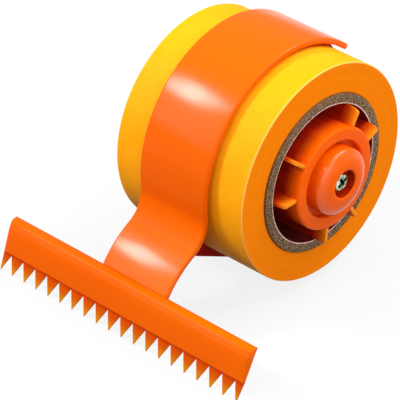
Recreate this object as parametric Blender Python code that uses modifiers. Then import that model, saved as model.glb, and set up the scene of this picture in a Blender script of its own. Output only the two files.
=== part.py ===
"""Double-roll masking tape applicator: two rolls of tape side by side in one plastic frame.

X runs along the roll axle, -Y points at the cutter and +Z is up. The origin lies on the
ground, under the middle of the whole object. All sizes are in metres.
"""

import math

import bmesh
import bpy
from mathutils import Matrix, Vector

# Clearances
SEAT_GAP = 0.0003
CUT_OVERRUN = 0.0010

# Rolls of tape, wound on cores with a 76 mm bore
CORE_BORE_RADIUS = 0.0381
CORE_WALL = 0.0055
TAPE_WALL = 0.0161
TAPE_WIDTH = 0.0405
TAPE_EDGE_BREAK = 0.0005
CORE_PROUD = 0.0010

# Frame: a centre web between the rolls, and a strap over them that ends in a tongue
WEB_THICKNESS = 0.0026
WEB_SIDE_GAP = 0.0008
WEB_INSET = 0.0003
STRAP_WIDTH = 0.0450
STRAP_THICKNESS = 0.0032
STRAP_CLEARANCE = 0.0018
STRAP_EDGE_ROUND = 0.0011
STRAP_REAR_ANGLE = math.radians(132.0)
SWEEP_RADIUS = 0.0167
SWEEP_END_ANGLE = math.radians(27.0)
BROW_RADIUS = 0.0530
BROW_END_ANGLE = math.radians(52.7)
NOSE_RADIUS = 0.0204
TONGUE_LENGTH = 0.0125
WEB_BROW_SHARE = 0.4
FOOT_HALF_LENGTH = 0.0112
FOOT_DROP = 0.0011
ARC_STEP = math.radians(5.0)

# Cutter bar, on the front of the tongue
BLADE_ANGLE = math.radians(61.3)
BAR_LENGTH = 0.1695
BAR_THICKNESS = 0.0048
BAR_FACE_LENGTH = 0.0194
BAR_RISE = 0.0016
LIP_THICKNESS = 0.0015
END_ROUND = 0.0020
END_STEP = 0.0003
END_THICKNESS_SHARE = 0.62
RIDGE_SHARES = ((0.079, 0.80), (0.103, 0.94), (0.147, 1.00), (0.210, 0.985), (0.500, 0.770))
TOOTH_COUNT = 20
TOOTH_STRIP = 0.0005
TOOTH_DEPTH = 0.0099
TOOTH_ROOT_THICKNESS = 0.0010
TOOTH_TIP_THICKNESS = 0.0003
TOOTH_END_INSET = 0.0011

# Screws that hold the cutter bar on the tongue
BAR_SCREW_SPACING = 0.0260
BAR_SCREW_DROP = 0.0075
BAR_SCREW_HEAD_RADIUS = 0.0029
BAR_SCREW_HEAD_HEIGHT = 0.0016
BAR_SCREW_RADIUS = 0.0013
BAR_SCREW_BITE = 0.0029
BAR_SCREW_SINK = 0.0002

# Axle boss and washers
BOSS_RADIUS = 0.0080
BOSS_LENGTH = 0.0483
WASHER_WIDTH = 0.0022
THRUST_WASHER_THICKNESS = 0.0010
FRICTION_WASHER_THICKNESS = 0.0013

# Finned hub
HUB_RADIUS = 0.0284
HUB_WALL = 0.0022
HUB_SLEEVE_WALL = 0.0022
HUB_REACH = 0.0030
HUB_RIM_BREAK = 0.0007
HUB_RIM_WIDTH = 0.0071
FIN_THICKNESS = 0.0021
FIN_SETBACK = 0.0009
FIN_CORNER_RADIUS_DROP = 0.0019
FIN_LEAD_LENGTH = 0.0072
FIN_PAIRS = 3
FIN_PAIR_ANGLE = math.radians(19.0)
FIRST_PAIR_ANGLE = math.radians(18.5)
FIN_LEAD_STEPS = 4

# Domed cap and its screw
CAP_GROOVE = 0.0031
CAP_WALL = 0.0022
CAP_SHOULDER = 0.0060
CAP_REACH = 0.0100
CAP_DOME_SHARES = (0.0, 0.35, 0.7)
CAP_HOLE_RADIUS = 0.0076
CAP_LIP_WIDTH = 0.0008
CAP_LIP_DROP = 0.0004
SCREW_HEAD_RADIUS = 0.0050
SCREW_HEAD_HEIGHT = 0.0028
SCREW_HEAD_BREAK = 0.0009
SCREW_HEAD_SINK = 0.0021
SCREW_RADIUS = 0.0021
SCREW_END_RADIUS = 0.0007
SCREW_LENGTH = 0.0210
CROSS_LENGTH_SHARE = 0.62
CROSS_WIDTH_SHARE = 0.17
CROSS_DEPTH_SHARE = 0.55

# Facets around the axle, and how meshes are finished
ROLL_STEPS = 64
HUB_STEPS = 48
CAP_STEPS = 36
WASHER_STEPS = 24
SCREW_STEPS = 16
MERGE_DISTANCE = 0.00001
SHARP_ANGLE = math.radians(35.0)
ROUNDED_ANGLE = math.radians(45.0)

# Places that follow from the sizes
CORE_OUTER_RADIUS = CORE_BORE_RADIUS + CORE_WALL
TAPE_BORE_RADIUS = CORE_OUTER_RADIUS + SEAT_GAP
TAPE_RADIUS = TAPE_BORE_RADIUS + TAPE_WALL
STRAP_INNER = TAPE_RADIUS + STRAP_CLEARANCE
STRAP_OUTER = STRAP_INNER + STRAP_THICKNESS
WEB_RADIUS = STRAP_OUTER - WEB_INSET
AXLE_HEIGHT = STRAP_OUTER + FOOT_DROP
BLADE_REACH = BAR_FACE_LENGTH + TOOTH_STRIP + TOOTH_DEPTH
ROLL_INNER = WEB_THICKNESS / 2 + WEB_SIDE_GAP
TAPE_INNER = ROLL_INNER + CORE_PROUD
TAPE_OUTER = TAPE_INNER + TAPE_WIDTH
ROLL_OUTER = TAPE_OUTER + CORE_PROUD
BOSS_BORE_RADIUS = BOSS_RADIUS + SEAT_GAP
WASHER_RADIUS = BOSS_BORE_RADIUS + WASHER_WIDTH
RECESS_RADIUS = HUB_RADIUS - HUB_RIM_WIDTH
CAP_RADIUS = RECESS_RADIUS - CAP_GROOVE
THRUST_WASHER_END = WEB_THICKNESS / 2 + SEAT_GAP + THRUST_WASHER_THICKNESS
HUB_START = THRUST_WASHER_END + SEAT_GAP
BOSS_END = WEB_THICKNESS / 2 + BOSS_LENGTH
HUB_RIM = BOSS_END + HUB_REACH
CAP_SEAT = BOSS_END + SEAT_GAP
HUB_FLOOR = CAP_SEAT - FRICTION_WASHER_THICKNESS - 2 * SEAT_GAP
CAP_TOP = BOSS_END + CAP_REACH
HEAD_TOP = CAP_TOP - SCREW_HEAD_SINK
HEAD_SEAT = HEAD_TOP - SCREW_HEAD_HEIGHT - SEAT_GAP


def leave_angle():
    """Angle below the axle where the strap leaves its circle, so that the teeth meet the ground."""
    drop = SWEEP_RADIUS * math.cos(SWEEP_END_ANGLE)
    drop += BROW_RADIUS * (math.cos(SWEEP_END_ANGLE) - math.cos(BROW_END_ANGLE))
    drop += NOSE_RADIUS * (math.cos(BROW_END_ANGLE) - math.cos(BLADE_ANGLE))
    drop += (BLADE_REACH - BAR_RISE) * math.sin(BLADE_ANGLE) - SEAT_GAP * math.cos(BLADE_ANGLE)
    return math.asin((AXLE_HEIGHT - drop) / (STRAP_OUTER + SWEEP_RADIUS))


def normal_of(heading):
    """Outward normal, in Y and Z, of a surface that runs forwards and down at this heading."""
    return Vector((-math.sin(heading), math.cos(heading)))


def direction_of(heading):
    """Direction of travel, in Y and Z, forwards and down at this heading."""
    return Vector((-math.cos(heading), -math.sin(heading)))


def arc_headings(start, end):
    """Headings from start to end in even steps of about ARC_STEP."""
    count = max(1, round(abs(end - start) / ARC_STEP))
    return [start + (end - start) * step / count for step in range(count)] + [end]


def arc_path(start, radius, headings):
    """Arc that leaves the start point, as (point, heading) pairs; a hollow has a radius below zero."""
    centre = start - normal_of(headings[0]) * radius
    return [(centre + normal_of(heading) * radius, heading) for heading in headings[1:]]


def strap_path(end_length=TONGUE_LENGTH):
    """Top surface of the strap about the axle, rear to front, as (point, heading) pairs."""
    leave = math.pi / 2 + leave_angle()
    path = [(normal_of(heading) * STRAP_OUTER, heading)
            for heading in arc_headings(math.pi / 2 - STRAP_REAR_ANGLE, leave)]
    path += arc_path(path[-1][0], -SWEEP_RADIUS, arc_headings(leave, SWEEP_END_ANGLE))
    path += arc_path(path[-1][0], BROW_RADIUS, arc_headings(SWEEP_END_ANGLE, BROW_END_ANGLE))
    path += arc_path(path[-1][0], NOSE_RADIUS, arc_headings(BROW_END_ANGLE, BLADE_ANGLE))
    return path + [(path[-1][0] + direction_of(BLADE_ANGLE) * end_length, BLADE_ANGLE)]


def offset_path(path, depth):
    """The path moved below the strap's top surface by depth."""
    return [point - normal_of(heading) * depth for point, heading in path]


BLADE_ORIGIN = (strap_path(end_length=0)[-1][0] - direction_of(BLADE_ANGLE) * BAR_RISE
                + normal_of(BLADE_ANGLE) * SEAT_GAP)
TIP_FRONT = (BLADE_ORIGIN + direction_of(BLADE_ANGLE) * BLADE_REACH
             + normal_of(BLADE_ANGLE) * TOOTH_TIP_THICKNESS)
AXLE_Y = (-TIP_FRONT.x - WEB_RADIUS) / 2
AXLE = Vector((0, AXLE_Y, AXLE_HEIGHT))

# Local X, Y and Z of a side view become world Y, Z and X
SIDE_VIEW = Matrix(((0, 0, 1), (1, 0, 0), (0, 1, 0))).to_4x4()
SIDES = {"right": math.pi / 2, "left": -math.pi / 2}


def clear_scene():
    for item in list(bpy.data.objects):
        bpy.data.objects.remove(item, do_unlink=True)


def make_collection(name):
    collection = bpy.data.collections.new(name)
    bpy.context.scene.collection.children.link(collection)
    return collection


def make_material(name, colour, roughness, metallic=0.0):
    material = bpy.data.materials.new(name)
    material.use_nodes = True
    material.diffuse_color = (*colour, 1.0)
    shader = material.node_tree.nodes["Principled BSDF"]
    shader.inputs["Base Color"].default_value = (*colour, 1.0)
    shader.inputs["Roughness"].default_value = roughness
    shader.inputs["Metallic"].default_value = metallic
    return material


def make_object(name, bm, collection, material=None):
    """An object that holds the finished bmesh, smooth shaded between sharp edges."""
    mesh = bpy.data.meshes.new(name)
    bm.to_mesh(mesh)
    bm.free()
    mesh.shade_smooth()
    mesh.set_sharp_from_angle(angle=SHARP_ANGLE)
    if material:
        mesh.materials.append(material)
    item = bpy.data.objects.new(name, mesh)
    collection.objects.link(item)
    return item


def hide_cutter(item):
    item.hide_render = True
    item.display_type = "WIRE"
    return item


def add_plate(bm, outline, thickness, matrix):
    """Add a flat plate: the outline as one face, extruded both ways from its own plane."""
    low = [bm.verts.new((u, v, -thickness / 2)) for u, v in outline]
    face = bm.faces.new(low)
    raised = bmesh.ops.extrude_face_region(bm, geom=[face])["geom"]
    top = [item for item in raised if isinstance(item, bmesh.types.BMVert)]
    bmesh.ops.translate(bm, verts=top, vec=(0, 0, thickness))
    bmesh.ops.transform(bm, matrix=matrix, verts=low + top)
    bmesh.ops.recalc_face_normals(bm, faces=bm.faces)


def add_turning(item, steps):
    """Turn the object's profile once round its own Z axis."""
    screw = item.modifiers.new("Turn", "SCREW")
    screw.axis = "Z"
    screw.steps = steps
    screw.render_steps = steps
    screw.use_merge_vertices = True
    screw.merge_threshold = MERGE_DISTANCE
    screw.use_smooth_shade = True


def make_profile(name, profile, closed):
    """Mesh of a profile in the XZ plane from (height, radius) points, outer side running down."""
    mesh = bpy.data.meshes.new(name)
    count = len(profile)
    edges = [(index, index + 1) for index in range(count - 1)]
    if closed:
        edges.append((count - 1, 0))
    mesh.from_pydata([(radius, 0, height) for height, radius in profile], edges, [])
    return mesh


def make_turned(name, profile, steps, collection, material=None, closed=True):
    mesh = make_profile(name, profile, closed)
    if material:
        mesh.materials.append(material)
    item = bpy.data.objects.new(name, mesh)
    collection.objects.link(item)
    add_turning(item, steps)
    return item


def add_boolean(item, other, operation):
    boolean = item.modifiers.new(operation.title(), "BOOLEAN")
    boolean.operation = operation
    boolean.object = other
    boolean.solver = "EXACT"


def place_on_axle(item, side):
    """Put a piece turned about Z on the axle, its heights counted outwards from the web."""
    item.location = AXLE
    item.rotation_euler = (0, SIDES[side], 0)


def ring_profile(start, end, inner, outer):
    return [(start, inner), (end, inner), (end, outer), (start, outer)]


def web_outline():
    """Outline of the centre web: under the strap, a straight lower front edge, a foot, a round back."""
    path = strap_path()
    headings = [heading for point, heading in path]
    brow_start = headings.index(SWEEP_END_ANGLE)
    brow_end = headings.index(BROW_END_ANGLE)
    last = brow_start + round((brow_end - brow_start) * WEB_BROW_SHARE)
    middle = offset_path(path[1:last + 1], STRAP_THICKNESS / 2)
    foot_front = Vector((-FOOT_HALF_LENGTH, -AXLE_HEIGHT))
    foot_rear = Vector((FOOT_HALF_LENGTH, -AXLE_HEIGHT))
    tangent = math.acos(WEB_RADIUS / foot_rear.length) + math.atan2(foot_rear.x, -foot_rear.y)
    back = [Vector((WEB_RADIUS * math.sin(angle), -WEB_RADIUS * math.cos(angle)))
            for angle in arc_headings(tangent, math.pi * 3 / 2 - STRAP_REAR_ANGLE)]
    return middle + [foot_front, foot_rear] + back


def make_frame(parts, cutters, material):
    """The frame moulding: strap with its tongue, centre web and the two axle bosses."""
    path = strap_path()
    outline = [point for point, heading in path] + list(reversed(offset_path(path, STRAP_THICKNESS)))
    bm = bmesh.new()
    add_plate(bm, outline, STRAP_WIDTH, SIDE_VIEW)
    frame = make_object("frame", bm, parts, material)
    frame.location = AXLE
    rounding = frame.modifiers.new("Rounded edges", "BEVEL")
    rounding.width = STRAP_EDGE_ROUND
    rounding.segments = 2
    rounding.limit_method = "ANGLE"
    rounding.angle_limit = ROUNDED_ANGLE

    bm = bmesh.new()
    add_plate(bm, web_outline(), WEB_THICKNESS, SIDE_VIEW)
    web = hide_cutter(make_object("web_form", bm, cutters))
    web.location = AXLE
    add_boolean(frame, web, "UNION")

    boss_profile = [(BOSS_END, 0), (BOSS_END, BOSS_RADIUS), (-BOSS_END, BOSS_RADIUS), (-BOSS_END, 0)]
    boss = hide_cutter(make_turned("boss_form", boss_profile, CAP_STEPS, cutters, closed=False))
    place_on_axle(boss, "right")
    add_boolean(frame, boss, "UNION")

    bore_end = BOSS_END + CUT_OVERRUN
    bore_radius = SCREW_RADIUS + SEAT_GAP
    bore_profile = [(bore_end, 0), (bore_end, bore_radius), (-bore_end, bore_radius), (-bore_end, 0)]
    bore = hide_cutter(make_turned("screw_bore", bore_profile, SCREW_STEPS, cutters, closed=False))
    place_on_axle(bore, "right")
    add_boolean(frame, bore, "DIFFERENCE")
    return frame


def tooth_depth_at(x):
    """Depth of the teeth at a place along the bar: tips, valleys between them and steep ends."""
    last_tip = BAR_LENGTH / 2 - TOOTH_END_INSET
    half_pitch = last_tip / (TOOTH_COUNT - 1)
    if abs(x) > last_tip:
        return TOOTH_DEPTH * (BAR_LENGTH / 2 - abs(x)) / TOOTH_END_INSET
    from_tip = abs((last_tip - x) / half_pitch % 2 - 1)
    return TOOTH_DEPTH * from_tip


def thickness_share_at(x):
    """Share of the bar's full thickness, less where its ends are rounded."""
    into_round = min(1.0, (BAR_LENGTH / 2 - abs(x)) / END_ROUND)
    rounding = math.sqrt(1.0 - (1.0 - into_round) ** 2)
    return END_THICKNESS_SHARE + (1.0 - END_THICKNESS_SHARE) * rounding


def bar_columns():
    """Places along the bar where its section changes."""
    last_tip = BAR_LENGTH / 2 - TOOTH_END_INSET
    half_pitch = last_tip / (TOOTH_COUNT - 1)
    columns = [-last_tip + half_pitch * step for step in range(2 * TOOTH_COUNT - 1)]
    for inset in (0, END_STEP, END_ROUND):
        columns += [BAR_LENGTH / 2 - inset, inset - BAR_LENGTH / 2]
    return sorted(columns)


def bar_section(x):
    """Section of the cutter bar at x, as (distance down the blade, distance out of its back)."""
    depth = tooth_depth_at(x)
    tooth_share = depth / TOOTH_DEPTH
    tip = TOOTH_ROOT_THICKNESS + (TOOTH_TIP_THICKNESS - TOOTH_ROOT_THICKNESS) * tooth_share
    share = thickness_share_at(x)
    section = [(0, 0)]
    section += [(BAR_FACE_LENGTH * down, BAR_THICKNESS * out * share) for down, out in RIDGE_SHARES]
    section += [(BAR_FACE_LENGTH, LIP_THICKNESS * share),
                (BAR_FACE_LENGTH, TOOTH_ROOT_THICKNESS * share),
                (BAR_FACE_LENGTH + TOOTH_STRIP + depth, tip * share),
                (BAR_FACE_LENGTH + TOOTH_STRIP + depth, 0),
                (BAR_FACE_LENGTH, 0)]
    return section


def make_cutter_bar(parts, material):
    """The cutter bar: a wedge lofted along X, with a row of teeth set back under its lip."""
    bm = bmesh.new()
    rings = []
    for x in bar_columns():
        ring = []
        for down, out in bar_section(x):
            place = BLADE_ORIGIN + direction_of(BLADE_ANGLE) * down + normal_of(BLADE_ANGLE) * out
            ring.append(bm.verts.new((x, place.x, place.y)))
        rings.append(ring)
    for ring, following in zip(rings, rings[1:]):
        for index in range(len(ring)):
            after = (index + 1) % len(ring)
            bm.faces.new((ring[index], ring[after], following[after], following[index]))
    bm.faces.new(rings[0])
    bm.faces.new(rings[-1])
    bmesh.ops.remove_doubles(bm, verts=bm.verts, dist=MERGE_DISTANCE)
    bmesh.ops.recalc_face_normals(bm, faces=bm.faces)
    bar = make_object("cutter_bar", bm, parts, material)
    bar.location = AXLE
    return bar


def bar_screw_profile(clearance):
    """Countersunk screw or its hole, its heights counted up from the tongue's rear face."""
    head = BAR_SCREW_HEAD_RADIUS + clearance
    shank = BAR_SCREW_RADIUS + clearance
    neck = BAR_SCREW_SINK + BAR_SCREW_HEAD_HEIGHT
    end = STRAP_THICKNESS + SEAT_GAP + BAR_SCREW_BITE + clearance
    return [(-BAR_SCREW_SINK, head), (-neck, shank), (-end, shank), (-end, 0)]


def make_bar_screws(parts, cutters, frame, bar, material):
    """Two countersunk screws from behind the tongue into the cutter bar, and their holes."""
    rear = BLADE_ORIGIN - normal_of(BLADE_ANGLE) * (STRAP_THICKNESS + SEAT_GAP)
    rear = rear + direction_of(BLADE_ANGLE) * BAR_SCREW_DROP
    for side, sign in (("right", 1), ("left", -1)):
        place = AXLE + Vector((sign * BAR_SCREW_SPACING / 2, rear.x, rear.y))
        profile = [(-BAR_SCREW_SINK, 0)] + bar_screw_profile(0)
        screw = make_turned("bar_screw_" + side, profile, SCREW_STEPS, parts, material, closed=False)
        mouth = BAR_SCREW_HEAD_RADIUS + SEAT_GAP
        hole_profile = [(CUT_OVERRUN, 0), (CUT_OVERRUN, mouth)] + bar_screw_profile(SEAT_GAP)
        hole = make_turned("bar_screw_hole_" + side, hole_profile, SCREW_STEPS, cutters, closed=False)
        hide_cutter(hole)
        for item in (screw, hole):
            item.location = place
            item.rotation_euler = (BLADE_ANGLE + math.pi, 0, 0)
        add_boolean(frame, hole, "DIFFERENCE")
        add_boolean(bar, hole, "DIFFERENCE")


def hub_profile():
    """Drum, recessed front and bearing sleeve of the hub, as one closed profile."""
    sleeve = BOSS_BORE_RADIUS + HUB_SLEEVE_WALL
    floor_back = HUB_FLOOR - HUB_WALL
    return [
        (HUB_START, BOSS_BORE_RADIUS),
        (HUB_FLOOR, BOSS_BORE_RADIUS),
        (HUB_FLOOR, RECESS_RADIUS),
        (HUB_RIM - HUB_RIM_BREAK, RECESS_RADIUS),
        (HUB_RIM, RECESS_RADIUS + HUB_RIM_BREAK),
        (HUB_RIM, HUB_RADIUS - HUB_RIM_BREAK),
        (HUB_RIM - HUB_RIM_BREAK, HUB_RADIUS),
        (HUB_START, HUB_RADIUS),
        (HUB_START, HUB_RADIUS - HUB_WALL),
        (HUB_RIM - HUB_WALL, HUB_RADIUS - HUB_WALL),
        (HUB_RIM - HUB_WALL, RECESS_RADIUS + HUB_WALL),
        (floor_back, RECESS_RADIUS + HUB_WALL),
        (floor_back, sleeve),
        (HUB_START, sleeve),
    ]


def fin_outline():
    """One fin in its own plane, as (radius, height): a rounded lead guides the core on."""
    root = HUB_RADIUS - HUB_WALL / 2
    tip = CORE_BORE_RADIUS - SEAT_GAP
    front = HUB_RIM - FIN_SETBACK
    lead = []
    for step in range(FIN_LEAD_STEPS + 1):
        angle = math.pi / 2 * step / FIN_LEAD_STEPS
        radius = tip - FIN_CORNER_RADIUS_DROP * (1 - math.cos(angle))
        lead.append((radius, front - FIN_LEAD_LENGTH * (1 - math.sin(angle))))
    return [(root, HUB_START), (tip, HUB_START)] + lead + [(root, front)]


def make_fins(cutters):
    """The six fins in three pairs, in the hub's own frame, ready to be joined to the drum."""
    bm = bmesh.new()
    for pair in range(FIN_PAIRS):
        for turn in (-FIN_PAIR_ANGLE, FIN_PAIR_ANGLE):
            angle = FIRST_PAIR_ANGLE + 2 * math.pi * pair / FIN_PAIRS + turn
            radial = Vector((-math.sin(angle), -math.cos(angle), 0))
            axial = Vector((0, 0, 1))
            side = radial.cross(axial)
            matrix = Matrix((radial, axial, side)).transposed().to_4x4()
            add_plate(bm, fin_outline(), FIN_THICKNESS, matrix)
    return hide_cutter(make_object("fins_form", bm, cutters))


def make_hub(side, fins, parts, material):
    hub = make_turned("hub_" + side, hub_profile(), HUB_STEPS, parts, material)
    place_on_axle(hub, side)
    fins_here = fins.copy()
    fins_here.name = "fins_form_" + side
    fins.users_collection[0].objects.link(fins_here)
    place_on_axle(fins_here, side)
    add_boolean(hub, fins_here, "UNION")
    return hub


def cap_profile():
    """Domed cap: a skirt in the hub's recess, a dome, and a sunk seat for the screw."""
    shoulder = BOSS_END + CAP_SHOULDER
    skirt = HUB_FLOOR + 2 * SEAT_GAP
    roof = HEAD_SEAT - CAP_WALL
    bore = SCREW_RADIUS + SEAT_GAP
    lip = CAP_HOLE_RADIUS + CAP_LIP_WIDTH
    dome = []
    for share in CAP_DOME_SHARES:
        angle = math.pi / 2 * share
        height = shoulder + (CAP_TOP - shoulder) * math.cos(angle)
        dome.append((height, lip + (CAP_RADIUS - lip) * math.sin(angle)))
    return [
        (CAP_SEAT, bore),
        (HEAD_SEAT, bore),
        (HEAD_SEAT, CAP_HOLE_RADIUS),
        (CAP_TOP - CAP_LIP_DROP, CAP_HOLE_RADIUS),
    ] + dome + [
        (shoulder, CAP_RADIUS),
        (skirt, CAP_RADIUS),
        (skirt, CAP_RADIUS - CAP_WALL),
        (roof, CAP_RADIUS - CAP_WALL),
        (roof, WASHER_RADIUS),
        (CAP_SEAT, WASHER_RADIUS),
    ]


def make_cap(side, parts, material):
    cap = make_turned("cap_" + side, cap_profile(), CAP_STEPS, parts, material)
    place_on_axle(cap, side)
    return cap


def make_cross(cutters):
    """Cross-shaped driver recess, in a screw's own frame with its head's top at zero."""
    bm = bmesh.new()
    reach = SCREW_HEAD_RADIUS * CROSS_LENGTH_SHARE
    side = SCREW_HEAD_RADIUS * CROSS_WIDTH_SHARE
    depth = SCREW_HEAD_HEIGHT * CROSS_DEPTH_SHARE
    outline = [
        (reach, side), (side, side), (side, reach),
        (-side, reach), (-side, side), (-reach, side),
        (-reach, -side), (-side, -side), (-side, -reach),
        (side, -reach), (side, -side), (reach, -side),
    ]
    add_plate(bm, outline, 2 * depth, Matrix.Translation((0, 0, HEAD_TOP)))
    return hide_cutter(make_object("cross_form", bm, cutters))


def make_cap_screw(side, cross, parts, material):
    """Pan-head screw that clamps the cap on the end of the axle boss."""
    neck = HEAD_TOP - SCREW_HEAD_HEIGHT
    end = neck - SCREW_LENGTH
    profile = [
        (HEAD_TOP, 0),
        (HEAD_TOP, SCREW_HEAD_RADIUS - SCREW_HEAD_BREAK),
        (HEAD_TOP - SCREW_HEAD_BREAK, SCREW_HEAD_RADIUS),
        (neck, SCREW_HEAD_RADIUS),
        (neck, SCREW_RADIUS),
        (end + SCREW_RADIUS, SCREW_RADIUS),
        (end, SCREW_END_RADIUS),
        (end, 0),
    ]
    screw = make_turned("cap_screw_" + side, profile, SCREW_STEPS, parts, material, closed=False)
    place_on_axle(screw, side)
    cross_here = cross.copy()
    cross_here.name = "cross_form_" + side
    cross.users_collection[0].objects.link(cross_here)
    place_on_axle(cross_here, side)
    add_boolean(screw, cross_here, "DIFFERENCE")
    return screw


def make_washers(side, parts, felt, nylon):
    """Nylon thrust washer against the web, felt friction washer under the cap."""
    start = WEB_THICKNESS / 2 + SEAT_GAP
    thrust = ring_profile(start, THRUST_WASHER_END, BOSS_BORE_RADIUS, WASHER_RADIUS)
    friction_start = HUB_FLOOR + SEAT_GAP
    friction_end = friction_start + FRICTION_WASHER_THICKNESS
    friction = ring_profile(friction_start, friction_end, BOSS_BORE_RADIUS, WASHER_RADIUS)
    place_on_axle(make_turned("thrust_washer_" + side, thrust, WASHER_STEPS, parts, nylon), side)
    place_on_axle(make_turned("friction_washer_" + side, friction, WASHER_STEPS, parts, felt), side)


def make_roll(side, parts, tape_material, core_material):
    """A cardboard core and the tape wound on it."""
    core = ring_profile(ROLL_INNER, ROLL_OUTER, CORE_BORE_RADIUS, CORE_OUTER_RADIUS)
    place_on_axle(make_turned("core_" + side, core, ROLL_STEPS, parts, core_material), side)
    tape = [
        (TAPE_INNER, TAPE_BORE_RADIUS),
        (TAPE_OUTER, TAPE_BORE_RADIUS),
        (TAPE_OUTER, TAPE_RADIUS - TAPE_EDGE_BREAK),
        (TAPE_OUTER - TAPE_EDGE_BREAK, TAPE_RADIUS),
        (TAPE_INNER + TAPE_EDGE_BREAK, TAPE_RADIUS),
        (TAPE_INNER, TAPE_RADIUS - TAPE_EDGE_BREAK),
    ]
    place_on_axle(make_turned("tape_" + side, tape, ROLL_STEPS, parts, tape_material), side)


def main():
    clear_scene()
    parts = make_collection("masking_tape_applicator")
    cutters = make_collection("cutters")
    orange = make_material("orange_plastic", (1.0, 0.13, 0.004), 0.25)
    yellow = make_material("tape_paper", (0.97, 0.50, 0.02), 0.55)
    board = make_material("core_board", (0.22, 0.18, 0.14), 0.85)
    zinc = make_material("zinc_steel", (0.55, 0.56, 0.50), 0.35, 1.0)
    nylon = make_material("nylon", (0.80, 0.78, 0.72), 0.45)
    felt = make_material("felt", (0.10, 0.10, 0.10), 0.95)

    frame = make_frame(parts, cutters, orange)
    bar = make_cutter_bar(parts, orange)
    make_bar_screws(parts, cutters, frame, bar, zinc)
    fins = make_fins(cutters)
    cross = make_cross(cutters)
    for side in SIDES:
        make_hub(side, fins, parts, orange)
        make_cap(side, parts, orange)
        make_cap_screw(side, cross, parts, zinc)
        make_washers(side, parts, felt, nylon)
        make_roll(side, parts, yellow, board)


main()
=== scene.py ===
"""The masking tape applicator, dressed: fine surfaces, materials, light and camera.

X runs along the roll axle, -Y points at the cutter and +Z is up, in metres.
"""

import math

import bmesh
import bpy
from mathutils import Matrix, Vector


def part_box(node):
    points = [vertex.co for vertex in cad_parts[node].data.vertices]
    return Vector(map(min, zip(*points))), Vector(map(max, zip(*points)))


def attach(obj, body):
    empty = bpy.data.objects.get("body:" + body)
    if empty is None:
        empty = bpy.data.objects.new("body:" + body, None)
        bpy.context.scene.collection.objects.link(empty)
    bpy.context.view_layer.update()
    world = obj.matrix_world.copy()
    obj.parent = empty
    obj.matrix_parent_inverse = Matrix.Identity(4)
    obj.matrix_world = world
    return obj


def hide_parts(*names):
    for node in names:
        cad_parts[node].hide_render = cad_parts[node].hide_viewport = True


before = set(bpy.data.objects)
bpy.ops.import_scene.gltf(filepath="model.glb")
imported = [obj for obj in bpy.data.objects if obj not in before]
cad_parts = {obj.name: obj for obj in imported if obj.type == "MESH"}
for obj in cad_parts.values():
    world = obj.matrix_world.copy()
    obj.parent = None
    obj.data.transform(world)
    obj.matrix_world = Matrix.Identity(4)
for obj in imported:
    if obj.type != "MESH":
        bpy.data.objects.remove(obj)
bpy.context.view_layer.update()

MM = 0.001

# Places read from the solids
TAPE_LOW, TAPE_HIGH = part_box("tape_right")
CORE_LOW, CORE_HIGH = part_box("core_right")
AXLE = Vector((0, (TAPE_LOW[1] + TAPE_HIGH[1]) / 2, (TAPE_LOW[2] + TAPE_HIGH[2]) / 2))
TAPE_INNER, TAPE_OUTER = TAPE_LOW[0], TAPE_HIGH[0]
ROLL_INNER, ROLL_OUTER = CORE_LOW[0], CORE_HIGH[0]

# Gap between pieces that touch
SEAT_GAP = 0.3 * MM

# Rolls
TAPE_RADIUS = 60.0 * MM
TAPE_EDGE_ROUND = 0.55 * MM
TAPE_END_RINGS = 12
CORE_BORE_RADIUS = 38.1 * MM
CORE_OUTER_RADIUS = 43.6 * MM
CORE_EDGE_ROUND = 0.25 * MM

# Frame
STRAP_WIDTH = 45.0 * MM
STRAP_THICKNESS = 3.2 * MM
STRAP_OUTER = 64.94 * MM
STRAP_EDGE_ROUND = 1.1 * MM
STRAP_REAR_ANGLE = math.radians(132)
LEAVE_ANGLE = math.radians(6.294)
SWEEP_RADIUS = 16.7 * MM
SWEEP_END_ANGLE = math.radians(27.0)
BROW_RADIUS = 53.0 * MM
BROW_END_ANGLE = math.radians(52.7)
NOSE_RADIUS = 20.4 * MM
TONGUE_LENGTH = 12.5 * MM
WEB_THICKNESS = 2.6 * MM
WEB_RADIUS = 64.7 * MM
WEB_BROW_SHARE = 0.4
FOOT_HALF_LENGTH = 11.2 * MM
BOSS_RADIUS = 8.0 * MM
BOSS_END = 49.6 * MM
BOSS_EDGE_ROUND = 0.5 * MM

# Cutter bar; its profile runs down the blade and out of it, in millimetres
BLADE_ANGLE = math.radians(61.3)
BAR_LENGTH = 169.5 * MM
BAR_FACE_LENGTH = 19.4 * MM
BAR_RISE = 1.6 * MM
BAR_PROFILE = ((0, 0), (1.55, 3.90), (2.9, 4.74), (6.2, 4.82), (9.6, 4.10), (19.4, 1.50), (19.4, 0.0))
BAR_PROFILE_RADII = (0.30, 0.25, 0.40, 6.0, 16.0, 0.28, 0.0)
BAR_END_THICKNESS_SHARE = 0.55
BAR_END_ROUND = 3.6 * MM
BAR_END_SPAN = 2.0 * MM
BAR_END_SECTION_SHARES = (0.0, 0.02, 0.08, 0.18, 0.32, 0.50, 0.74, 1.0)
BAR_SECTIONS = 40
TOOTH_COUNT = 20
TOOTH_STRIP = 0.5 * MM
TOOTH_DEPTH = 9.9 * MM
TOOTH_END_INSET = 1.1 * MM
TOOTH_OVERLAP = 1.0 * MM
TOOTH_ROOT_THICKNESS = 0.75 * MM
TOOTH_TIP_THICKNESS = 0.30 * MM
TOOTH_FIRST_BLUNTNESS = 0.12 * MM
TOOTH_BLUNTNESS_GROWTH = 0.30 * MM
TOOTH_BEVEL = 0.12 * MM

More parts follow.
